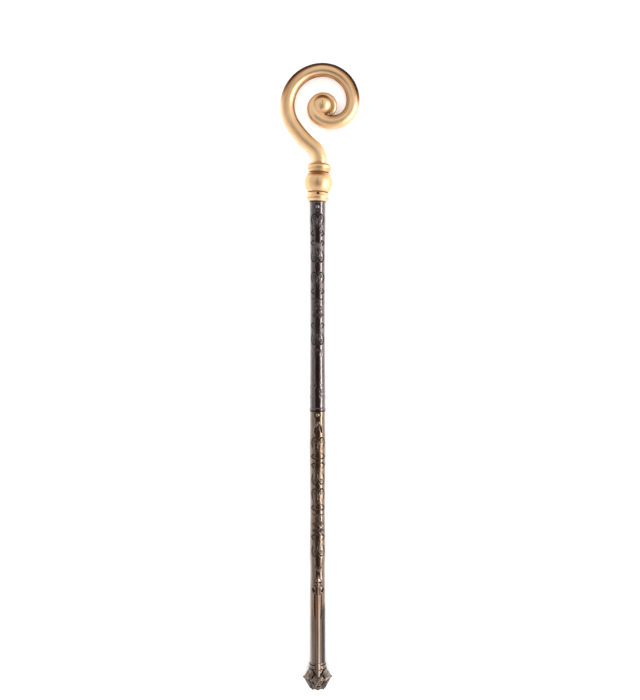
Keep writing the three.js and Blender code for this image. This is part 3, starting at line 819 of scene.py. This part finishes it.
def make_crook():
    at, heading, distance, radius = crook_path(CROOK_STEP)
    angle, along = grid(distance, CROOK_SIDES)
    reach = radius[:, None] + noise_sum(angle, along, CROOK_NOISE, CROOK_SEED)
    across = np.stack([np.sin(heading), -np.cos(heading)], axis=-1)[:, None, :]
    flat = at[:, None, :] + across * (reach * np.sin(angle))[..., None]
    points = np.concatenate([flat, (reach * np.cos(angle))[..., None]], axis=-1)
    # The crook's painted shade and reflections
    dirt_and_shade = crook_painted_shade(angle, along, heading[:, None])
    start = points[:1].copy()
    start[..., 1] -= STEM_SUNK
    points = np.concatenate([start, points], axis=0)
    dirt_and_shade = np.concatenate([dirt_and_shade[:1], dirt_and_shade], axis=0)
    stands_for(skin("crook", lean(points), gold, dirt_and_shade), "crook_head")


def eye_height(x, y):
    """Height over a point near the eye's centre, with coil and ball blended, and the crease between them."""
    at, _, _, radius = crook_path(EYE_PATH_STEP)
    coil = at[EYE_PATH_START:] - np.array([0, KNOP_CENTRE + EYE_ABOVE_KNOP])
    far = (x[..., None] - coil[:, 0]) ** 2 + (y[..., None] - coil[:, 1]) ** 2
    tube = np.sqrt(np.clip(radius[EYE_PATH_START:] ** 2 - far, 0, None)).max(axis=-1) - 0.35
    ball = np.sqrt(np.clip(EYE_RADIUS ** 2 - x ** 2 - y ** 2, 0, None))
    below = fades(y, -6, 14)
    blend = 0.8 + 7.0 * below
    overlap = np.clip(blend - np.abs(ball - tube), 0, None) / blend
    fillet = fades(np.hypot(x, y), EYE_PATCH, 7) * overlap ** 2 * blend / 4
    return np.maximum(ball, tube) + fillet, hump(ball, tube, 1.6) * (1 - below)


def make_eye():
    turn = np.arange(EYE_SIDES) * 2 * math.pi / EYE_SIDES
    radius = np.concatenate([[0.02], np.linspace(0.7, EYE_PATCH, EYE_RINGS)])[:, None]
    x, y = radius * np.cos(turn), radius * np.sin(turn)
    height, crease = eye_height(x, y)
    marks = Relief(x, y)
    marks.pit((-0.8, 4.6), 1.3, 1.2, depth=0.9)
    marks.pit((-0.8, 0.8), 0.9, 0.9, depth=0.6)
    height = height - marks.sunk
    # Painted shade and reflection on the eye, placed as it is seen from above: a dark rim and crescent on the
    # ball's top under the coil, shade in the crease, and a dark reflection just below the ball's middle
    seen = y + EYE_TILT * height
    far = np.hypot(x, seen)
    way = np.degrees(np.arctan2(seen, x))
    rim = 0.5 * hump(far, 24.4, 1.3) * grows(seen, -12, 12)
    crescent = 0.85 * grows(far, 17.5, 4.5) * np.exp(-((way - 92) / 44) ** 4)
    blob = 0.42 * hump(x, -3.3, 3) * hump(seen, -8.2, math.sqrt(15))
    dirt_and_shade = np.maximum.reduce([0.3 * crease, marks.dirt_and_shade, rim, crescent, blob])
    y = y + KNOP_CENTRE + EYE_ABOVE_KNOP
    front = np.stack([x, y, height], axis=-1)
    back = np.stack([x, y, -height], axis=-1)
    points = np.concatenate([back, front[::-1]], axis=0)
    dirt_and_shade = np.concatenate([dirt_and_shade, dirt_and_shade[::-1]], axis=0)
    stands_for(skin("eye", lean(points), gold, dirt_and_shade), "crook_head")


def collar_profile(points):
    """A smooth turned line through points of radius and height."""
    heights = np.linspace(points[0][1], points[-1][1], COLLAR_STEPS + 1)
    swapped = [(height, radius) for radius, height in points]
    return np.stack([outline_radius(swapped, heights), heights], axis=-1)


def make_knop():
    seat_radius = UPPER_OUTLINE[0][1] + COLLAR_LIP
    start = math.atan2(KNOP_REACH, NECK_RADIUS)
    slope = np.linspace(-start, start, 56)[1:-1]
    ball = np.stack([KNOP_RADIUS * np.cos(slope), KNOP_CENTRE + KNOP_RADIUS * np.sin(slope)], axis=-1)
    low_neck = (NECK_RADIUS, KNOP_CENTRE - KNOP_REACH)
    high_neck = (NECK_RADIUS, KNOP_CENTRE + KNOP_REACH)
    profile = np.concatenate([
        [(SPIGOT_RADIUS, 1.0), (seat_radius - 0.8, 0.4), (seat_radius, 0.9)],
        collar_profile(LOWER_COLLAR + [low_neck]), ball, collar_profile([high_neck] + UPPER_COLLAR),
    ])
    # The columns stand closer together at the front, for the vent
    share = np.linspace(-1, 1, KNOP_COLUMNS, endpoint=False)
    turn = math.pi * (0.45 * share + 0.55 * share ** 3)
    angle, height = np.meshgrid(turn, profile[:, 1])
    radius = profile[:, :1] + 0.1 * ring_noise(angle, height, 6, 20, KNOP_SEED)
    # Painted shade on the knop: dark in the necks, in and round the vent, at the seat and over the ball's top
    # under the collar, a dark reflection down the ball's front, and the collars' dark lines, all made patchy
    layers = []
    for neck in (low_neck[1], high_neck[1]):
        radius = radius - hump(height, neck, 1.1)
        layers.append(0.8 * hump(height, neck, 1.5))
    marks = Relief(radius * np.sin(angle) + OFF_SKIN * (np.abs(angle) > 1.5), height)
    marks.pit((0, VENT_HEIGHT), VENT_RADIUS, VENT_RADIUS, VENT_DEPTH, steep=5)
    radius = radius - marks.sunk
    patchy = 0.7 + 0.3 * ring_noise(angle, height, 9, 14, PATCHY_SEED)
    cap = grows(height, KNOP_CENTRE + 12, 9) * (height < high_neck[1] + 1)
    halo = hump(np.hypot(marks.x, height - VENT_HEIGHT), 0, VENT_HALO)
    layers += [
        1.15 * marks.dirt_and_shade * smooth(marks.sunk / 2),
        0.8 * fades(height, 2.0, 1.6),
        0.85 * patchy * cap * hump(angle, -0.15, 0.9),
        0.34 * patchy * hump(marks.x, -3, 3.5) * hump(height, KNOP_CENTRE + 1, 9),
        0.7 * halo * (np.abs(angle) < 1),
    ]
    layers += [amount * patchy * hump(height, middle, width) for middle, width, amount in COLLAR_LINES]
    points = lean(around(angle, radius, height))
    stands_for(skin("knop", points, gold, np.maximum.reduce(layers)), "crook_head")


# Shaft lengths
def rough_patch(angle, height, low, high, seed):
    """A worn, pitted stretch of the casting."""
    share = grows(height, low, 8) * fades(height, high, 8)
    return share * noise_sum(angle, height, ROUGH_NOISE, seed)


def stud_recess(angle, x, height, middle, margin, steep):
    """The recess round a stud, on the front only, painted dark as shade."""
    front = np.abs(angle - math.pi) > math.pi / 2
    recess = Relief(np.where(front, x, OFF_SKIN), height)
    reach = STUD_RADIUS + margin
    recess.pit((0, middle), reach, reach, STUD_RECESS, steep=steep)
    return recess


def fine_zones(cartouches, top, band, band_length):
    """Where rows stand close together on a length: at its cartouches and round its band."""
    zones = [(top - below - CARTOUCHE_LENGTH, top - below) for below, _ in cartouches]
    return zones + [(top - band - band_length, top - band + 4)]


def make_upper():
    zones = fine_zones(UPPER_CARTOUCHES, SEAT, UPPER_BAND, 58)
    zones += [(SEAT - 24, SEAT), (JOINT, JOINT + 12)] + ROUGH_ZONES
    angle, height = grid(rows_between(UPPER_RIM_LOW + 0.9, SEAT - 0.4, zones), SHAFT_COLUMNS)
    rim_top = UPPER_RIM_LOW + UPPER_RIM_HEIGHT
    base = outline_radius(UPPER_OUTLINE, SEAT - height)
    base = base + (UPPER_RIM_RADIUS - base) * fades(height, rim_top, UPPER_RIM_SLOPE)
    relief = Relief(base * np.sin(front_angle(angle)), height)
    for below, direction in UPPER_CARTOUCHES:
        draw_cartouche(relief, SEAT - below, direction)
    draw_band(relief, SEAT - UPPER_BAND, [draw_disc, draw_diamond])
    relief.groove([(-30, rim_top), (30, rim_top)], 1.8, depth=0.35, dirt_and_shade=0.45)
    stud = stud_recess(angle, relief.x, height, UPPER_STUD, margin=0.5, steep=5)
    relief.sunk = np.maximum(relief.sunk, stud.sunk)
    radius = base + relief.height() + noise_sum(angle, height, SHAFT_NOISE, UPPER_SEED)
    for low, high, seed in ROUGH_PATCHES:
        radius = radius + rough_patch(angle, height, low, high, seed)
    # Painted shade where the length meets the lower length's rim and the head's collar
    low_edge = 0.95 * fades(height, UPPER_RIM_LOW + 2.1, 1.2)
    high_edge = 0.9 * grows(height, SEAT - 2.4, 2.4)
    dirt_and_shade = np.maximum.reduce([relief.dirt_and_shade, stud.dirt_and_shade, low_edge, high_edge])
    spigot_end = JOINT - SPIGOT_LENGTH
    low_end = turned_rows([
        (SPIGOT_RADIUS - SPIGOT_BEVEL, spigot_end), (SPIGOT_RADIUS, spigot_end + SPIGOT_BEVEL),
        (SPIGOT_RADIUS, UPPER_RIM_LOW), (UPPER_RIM_RADIUS - 0.9, UPPER_RIM_LOW),
        (UPPER_RIM_RADIUS - 0.25, UPPER_RIM_LOW + 0.35),
    ])
    high_end = turned_rows([
        (UPPER_OUTLINE[0][1] - 0.4, SEAT), (SOCKET_RADIUS, SEAT), (SOCKET_RADIUS, SEAT - SOCKET_DEPTH),
    ])
    points, dirt_and_shade = with_ends(low_end, around(angle, radius, height), high_end, dirt_and_shade, 1.0)
    stands_for(skin("upper_tube", points, bronze, dirt_and_shade), "upper_shaft")


def roofed(angle, edge_radius, half_width, rise):
    """Radius of a skin whose front carries a roof: straight slopes from its two edges up to its ridge."""
    turn = front_angle(angle)
    edge = np.sqrt(np.clip(edge_radius ** 2 - half_width ** 2, 1, None))
    slope = (edge_radius + rise - edge) / half_width
    return (edge_radius + rise) / (np.cos(turn) + slope * np.abs(np.sin(turn)))


def draw_leaf(relief):
    outline = closed_outline(LEAF_OUTLINE)
    relief.plate(outline, RELIEF, edge=1.0)
    relief.groove(outline, 1.8, depth=0.6, dirt_and_shade=0.75, closed=True)
    for side in (1, -1):
        for centre, half_x, half_y, depth in LEAF_HOLES:
            relief.pit(*mirror([centre], side), half_x, half_y, depth)
        relief.slot(*mirror(LEAF_SLIT, side), 4.4, depth=2.8)
        for vein, width in LEAF_VEINS:
            relief.ridge(mirror(vein, side), width, rise=0.8, clean=0.7)
        relief.roof(mirror(FLUTE_BAR, side), 5.0, rise=0.8)
        relief.groove(mirror(FLUTE_INSIDE, side), 1.5, depth=0.4, dirt_and_shade=0.35)
        relief.groove(mirror(FLUTE_OUTSIDE, side), 1.4, depth=0.3, dirt_and_shade=0.25)


def draw_lower_ornament(ornament):
    for below, direction in LOWER_CARTOUCHES:
        draw_cartouche(ornament, JOINT - below, direction, barred=True)
    draw_band(ornament, JOINT - LOWER_BAND, [draw_diamond, draw_diamond])
    for side in (1, -1):
        ornament.groove(mirror(CHEVRON, side), 2.0, depth=0.8, dirt_and_shade=0.9)
        ornament.ridge(mirror(LOWER_CHEVRON, side), 2.8, rise=0.8)
        ornament.groove(mirror(LOWER_CHEVRON, side, 2.6), 1.8, depth=0.6, dirt_and_shade=0.8)
        ornament.ridge(mirror(ARCH_LEG, side, ARCH_APEX), 6.5, rise=1.5)
        outside = [(x + 3.4, y - 0.5) for x, y in ARCH_LEG]
        ornament.groove(mirror(outside, side, ARCH_APEX), 1.6, depth=0.4, dirt_and_shade=0.5)
        ornament.groove(mirror(ARCH_INSIDE, side, ARCH_APEX), 2.2, depth=0.7, dirt_and_shade=0.9)
    ornament.pit((0.8, ARCH_APEX - 19), 1.4, 2.2, depth=0.8)


def make_lower():
    zones = fine_zones(LOWER_CARTOUCHES, JOINT, LOWER_BAND, 60)
    zones += [(JOINT - 60, JOINT), (FLUTE_LOW - 8, 340)]
    angle, height = grid(rows_between(END_RING_TOP - 1, JOINT - 1.0, zones), SHAFT_COLUMNS)
    base = outline_radius(LOWER_OUTLINE, JOINT - height)
    turn = front_angle(angle)
    ornament = Relief(base * np.sin(turn - ORNAMENT_TURN), height)
    draw_lower_ornament(ornament)
    relief = Relief(base * np.sin(turn), height)
    draw_leaf(relief)
    stud = stud_recess(angle, base * np.sin(turn + LOWER_TURN), height, LOWER_STUD, margin=1.1, steep=4)
    rib_half = by_height(height, [
        (END_RING_TOP, RIB_HALF_WIDTH), (FLUTE_LOW, RIB_HALF_WIDTH), (LEAF_BARB, 4.4), (LEAF_WAIST, 4.4),
        (LEAF_SHOULDER, 9.4), (LEAF_TIP, 0.8), (LEAF_TIP + 1, 0.4),
    ])
    rib_radius = roofed(angle, LOWER_END_RADIUS, rib_half, RIB_RISE)
    on_rib = (height < LEAF_TIP + 1) & (np.abs(relief.x) < rib_half)
    body = base + ornament.raised + relief.raised + np.maximum(ornament.ridges, relief.ridges)
    body = body + noise_sum(angle, height, SHAFT_NOISE, LOWER_SEED) * grows(height, 114, 60)
    body = body - np.maximum.reduce([ornament.sunk, relief.sunk, stud.sunk])
    radius = np.where(on_rib, np.maximum(body, rib_radius - relief.sunk), body)
    # Besides the wash in the ornament's grooves: painted shade along the rib's edges, on its left face, round
    # the stud and at the joint; the length is also darker below the leaf, most towards its right
    dirt_and_shade = np.maximum.reduce([
        ornament.dirt_and_shade, relief.dirt_and_shade, stud.dirt_and_shade,
        0.6 * (height < LEAF_ROOT) * hump(np.abs(relief.x), rib_half + 0.5, RIB_EDGE_WIDTH),
        0.26 * on_rib * hump(relief.x, -0.8, 2.0),
        fades(height, 250, 40) * ~on_rib * (0.12 + 0.44 * grows(relief.x, 5, 5)),
        0.95 * grows(height, JOINT - 2.6, 1.6),
    ])
    low_end = turned_rows([(SOCKET_RADIUS, END_RING_TOP - 4), (LOWER_END_RADIUS - 1.5, END_RING_TOP - 3)])
    top = LOWER_OUTLINE[0][1]
    high_end = turned_rows([
        (top - 0.3, JOINT - 0.4), (top - 1.0, JOINT), (SOCKET_RADIUS, JOINT),
        (SOCKET_RADIUS, JOINT - SOCKET_DEPTH),
    ])
    points, dirt_and_shade = with_ends(low_end, around(angle, radius, height), high_end, dirt_and_shade, 1.0)
    piece = skin("lower_tube", turn_about_axis(points, LOWER_TURN), copper, dirt_and_shade)
    stands_for(piece, "lower_shaft")


def foot_body(angle, height):
    """The eight-sided bulb, that turns round under the end rings."""
    corner = by_height(height, FOOT_PROFILE)
    face = math.pi / FOOT_SIDES
    local = (angle + face) % (2 * face) - face
    flat = np.cos(face) / np.cos(face - np.abs(local))
    return corner * (flat + (1 - flat) * grows(height, RINGS_LOW - 3, 4))


def draw_foot(relief):
    for side in (1, -1):
        for bar, width, rise in FOOT_BARS:
            relief.roof(mirror(bar, side), width, rise)
        for groove, width, depth, dirt_and_shade in FOOT_GROOVES:
            relief.groove(mirror(groove, side), width, depth, dirt_and_shade)
        for start, end, width, depth, dirt_and_shade in FOOT_SLOTS:
            relief.slot(*mirror([start, end], side), width, depth, dirt_and_shade)
        relief.ridge(mirror(ring(FOOT_RING, 4.6, 1.35), side), 2.2, rise=0.8)
        relief.pit(*mirror([(4.6, 28.0)], side), 1.2, 1.7, depth=0.9)
        bead = mirror([SIDE_BEAD], side)[0]
        relief.pit(bead, 5.0, 5.2, depth=1.0, dirt_and_shade=0.8, steep=3)
        relief.dome(bead, 4.2, 4.6, rise=3.0, clean=0.95)
    relief.slot((-2.4, 12.6), (3.2, 12.6), 3.0, depth=2.0)
    relief.ridge([(-5, 9.6), (0, 7.4), (5, 9.6)], 2.2, rise=0.8)
    relief.pit((0.8, 20.2), 1.2, 1.4, depth=0.8)
    relief.pit(FRONT_BEAD, 4.0, 4.0, depth=0.8, dirt_and_shade=0.7, steep=3)
    relief.dome(FRONT_BEAD, 3.2, 3.4, rise=2.4, clean=0.95)


def make_foot():
    heights = np.unique(np.concatenate([np.arange(0, END_RING_TOP + 0.01, FOOT_ROW), [FOOT_BELT]]))
    angle, height = grid(heights, FOOT_COLUMNS)
    turn = front_angle(angle)
    base = foot_body(angle, height)
    relief = Relief(base * np.sin(turn), height)
    draw_foot(relief)
    from_nub = np.hypot((np.abs(turn) - math.pi / 2) * FOOT_RADIUS, height - FOOT_BELT)
    nub = NUB_RISE * np.sqrt(np.clip(1 - (from_nub / NUB_RADIUS) ** 2, 0, 1))
    rib_half = by_height(height, [(RIB_TIP, 2.2), (RINGS_LOW, RIB_HALF_WIDTH)])
    rib_edge = by_height(height, [(RIB_TIP, 33.6), (RINGS_LOW, 25.4), (56.5, 25.6), (END_RING_TOP, 22.2)])
    rib_rise = by_height(height, [(RIB_TIP, 0.2), (RIB_TIP + 4, 1.9), (END_RING_TOP, RIB_RISE)])
    rib_radius = roofed(angle, rib_edge, rib_half, rib_rise)
    on_rib = (height > RIB_TIP) & (np.abs(relief.x) < rib_half)
    radius = base + relief.height() + nub + noise_sum(angle, height, FOOT_NOISE, FOOT_SEED)
    radius = np.where(on_rib, np.maximum(radius, rib_radius), radius)
    # Painted shade on the foot: in the creases at the end rings and along the rib's edges, across the rib's
    # faces, on the flanks under the belt and round the nubs; the random darkening and the lattice's wash are
    # its own colour
    flank = grows(np.abs(turn), 0.45, 0.4)
    dirt_and_shade = np.maximum.reduce([
        relief.dirt_and_shade,
        0.85 * (hump(height, 66.6, 1.7) + hump(height, 55.9, 1.4)) * ~on_rib,
        0.7 * (height > RIB_TIP) * hump(np.abs(relief.x), rib_half + 0.5, RIB_EDGE_WIDTH),
        on_rib * (0.3 * hump(relief.x, -0.8, 2.0) + 0.34 * grows(relief.x, 0, 2)),
        0.8 * flank * fades(height, FOOT_BELT + 2, 4),
        0.85 * fades(from_nub, 3.9, 1.5),
        0.2 + 0.16 * ring_noise(angle, height, 26, 7, FOOT_DIRT_SEED),
    ])
    scallop = 1.3 * smooth(0.5 - 0.8 * np.cos(FOOT_SIDES * angle))
    points = around(angle, radius, height + scallop * (1 - smooth(height / 5)))
    low_end = []
    for across, keep, lift in FOOT_END_ROWS:
        low_end.append(points[0] * np.array([across, keep, across]) + np.array([0, lift, 0]))
    high_end = points[-1:] * np.array([0.8, 1, 0.8])
    points, dirt_and_shade = with_ends(low_end, points, high_end, dirt_and_shade, 0.9)
    piece = skin("foot", turn_about_axis(points, LOWER_TURN), copper, dirt_and_shade)
    stands_for(piece, "lower_shaft")


def make_stud(name, node, height, shaft_radius, material):
    """A domed stud with a turned collar, on the front of the shaft."""
    foot = math.sqrt(shaft_radius ** 2 - STUD_RADIUS ** 2)
    top = shaft_radius + STUD_RISE
    rise = top - foot - STUD_DOME_BASE
    dome = (STUD_DOME_RADIUS ** 2 + rise ** 2) / (2 * rise)
    half = math.asin(min(1.0, STUD_DOME_RADIUS / dome))
    profile = [
        (STUD_RADIUS - 0.2, foot - 4), (STUD_RADIUS, foot + 0.2), (STUD_RADIUS - 0.3, foot + 0.8),
        (STUD_RADIUS - 0.9, foot + 1.0), (STUD_GROOVE_RADIUS, foot + 0.75),
    ]
    for i in range(STUD_DOME_STEPS):
        turn = half * (1 - i / STUD_DOME_STEPS)
        profile.append((dome * math.sin(turn), top - dome + dome * math.cos(turn)))
    profile.append((0.05, top))
    points = turned_rows(profile, STUD_COLUMNS)
    # Painted shade on the stud's first rows: its foot, collar and groove
    dirt_and_shade = np.zeros(points.shape[:2])
    dirt_and_shade[:len(STUD_SHADE)] = np.array(STUD_SHADE)[:, None]
    turned = np.stack([points[..., 0], height - points[..., 2], points[..., 1]], axis=-1)
    stands_for(skin(name, turned, material, dirt_and_shade), node)


make_crook()
make_eye()
make_knop()
make_upper()
make_lower()
make_foot()
make_stud("stud_upper", "button_upper", UPPER_STUD, UPPER_OUTLINE[0][1], steel)
make_stud("stud_lower", "button_lower", LOWER_STUD, LOWER_OUTLINE[0][1], brass)


# Floor, light and camera
def plane(name, corners, material):
    mesh = bpy.data.meshes.new(name)
    mesh.from_pydata(corners, [], [(0, 1, 2, 3)])
    mesh.materials.append(material)
    piece = bpy.data.objects.new(name, mesh)
    bpy.context.scene.collection.objects.link(piece)
    return piece


def studio_world():
    """Soft white walls, a little darker and warmer at the far end."""
    studio = Shader("studio", bpy.data.worlds)
    bpy.context.scene.world = studio.owner
    way = studio.node("ShaderNodeSeparateXYZ", {0: studio.node("ShaderNodeTexCoord").outputs["Generated"]})
    inputs = {"Value": way.outputs["Y"], "From Min": FAR_WALL_FROM, "From Max": FAR_WALL_TO}
    ramp = studio.node("ShaderNodeMapRange", inputs, interpolation_type="SMOOTHSTEP")
    colour = studio.mix(ramp.outputs["Result"], WALL_COLOUR, FAR_WALL_COLOUR)
    background = studio.tree.nodes["Background"]
    studio.put(background.inputs["Color"], colour)
    studio.put(background.inputs["Strength"], 1.0)


def card(name, corners, colour):
    """A dark card that shows only as a reflection."""
    shader = Shader(name)
    shade = shader.mix(shader.remap(shader.noise(2, 2), 0.3, 0.7), colour, tuple(0.8 * c for c in colour))
    piece = plane(name, corners, shader.finish(Base_Color=shade, Roughness=0.9))
    piece.visible_camera = False
    piece.visible_diffuse = False
    piece.visible_shadow = False


def soft_light(name, place_at, aim, size_x, size_y, power, glossy=True, diffuse=True):
    data = bpy.data.lights.new(name, "AREA")
    data.shape = "RECTANGLE"
    data.size, data.size_y, data.energy = size_x, size_y, power
    light = bpy.data.objects.new(name, data)
    light.location = place_at
    light.rotation_mode = "QUATERNION"
    light.rotation_quaternion = (Vector(aim) - Vector(place_at)).to_track_quat("-Z", "Y")
    light.visible_glossy = glossy
    light.visible_diffuse = diffuse
    bpy.context.scene.collection.objects.link(light)


def side_light(name, along, length, power):
    """A soft box beside the crosier, that shows in its gloss."""
    place_at = (SIDE_LIGHT_OUT, along, SIDE_LIGHT_UP)
    soft_light(name, place_at, (0, along, 0), length, SIDE_LIGHT_WIDTH, power, diffuse=False)


floor_corners = [(x * FLOOR_HALF, y * FLOOR_HALF, 0) for x, y in ((-1, -1), (1, -1), (1, 1), (-1, 1))]
floor = plane("floor", floor_corners, floor_material())
studio_world()
card("camera_card", [(x, y, CARD_HEIGHT) for x, y in CARD_CORNERS], CARD_COLOUR)
side_light("softbox_right", 0.0, SOFTBOX_LENGTH, SOFTBOX_POWER)
side_light("low_right", LOW_LIGHT_ALONG, LOW_LIGHT_LENGTH, LOW_LIGHT_POWER)
overhead_at = (0, 0, OVERHEAD_UP)
soft_light("overhead", overhead_at, (0, 0, 0), OVERHEAD_SIZE, OVERHEAD_SIZE, OVERHEAD_POWER, glossy=False)

camera_data = bpy.data.cameras.new("camera")
camera_data.sensor_width = SENSOR_WIDTH
camera_data.lens = CAMERA_LENS
camera = bpy.data.objects.new("camera", camera_data)
camera.location = CAMERA_PLACE
bpy.context.scene.collection.objects.link(camera)
bpy.context.scene.camera = camera
bpy.context.scene.view_settings.view_transform = "Standard"
